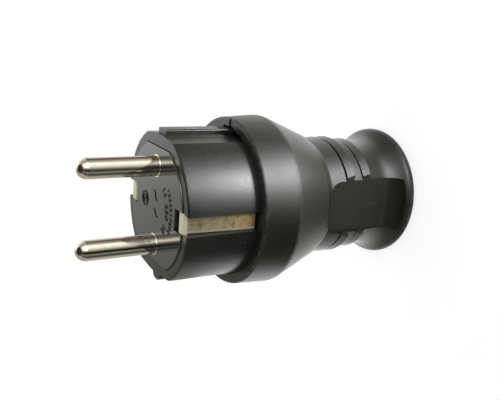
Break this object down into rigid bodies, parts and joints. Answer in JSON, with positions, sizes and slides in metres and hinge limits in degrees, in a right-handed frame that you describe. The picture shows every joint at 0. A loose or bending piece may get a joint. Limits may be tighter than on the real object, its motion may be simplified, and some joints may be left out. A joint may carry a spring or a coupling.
{
  "type": "type f plug",
  "caption": "Rewireable round type F mains plug with two pins, folded earth contacts on both sides, a flanged hood with thumb pockets and a flared rear rim.",
  "frame": {"origin": "centre of the rear rim, on the surface the plug stands on", "axes": "+Z towards the pin tips, the pins on the Y axis, the earth contacts on the X axis"},
  "size_m": [0.042, 0.042, 0.085],
  "materials": {
    "hood_plastic": "satin black moulding with fine scratches",
    "sleeve_plastic": "satin black moulding",
    "insert_plastic": "smooth dark grey moulding",
    "nickel": "polished nickel plate",
    "contact_brass": "tarnished brass strip",
    "zinc_steel": "zinc plated",
    "grommet_rubber": "matt"
  },
  "bodies": {
    "root": {"hood": "hood_plastic", "front_housing": "sleeve_plastic", "contact_insert": "insert_plastic", "pin_upper": "nickel", "pin_lower": "nickel", "terminal_screw_upper": "zinc_steel", "terminal_screw_lower": "zinc_steel", "wire_plate_upper": "zinc_steel", "wire_plate_lower": "zinc_steel", "earth_strip": "contact_brass", "earth_nut": "zinc_steel", "earth_wire_plate": "zinc_steel", "earth_washer": "zinc_steel", "earth_screw": "zinc_steel", "cord_clamp": "insert_plastic", "clamp_screw_upper": "zinc_steel", "clamp_screw_lower": "zinc_steel", "clamp_nut_upper": "zinc_steel", "clamp_nut_lower": "zinc_steel", "cable_grommet": "grommet_rubber"}
  },
  "joints": []
}
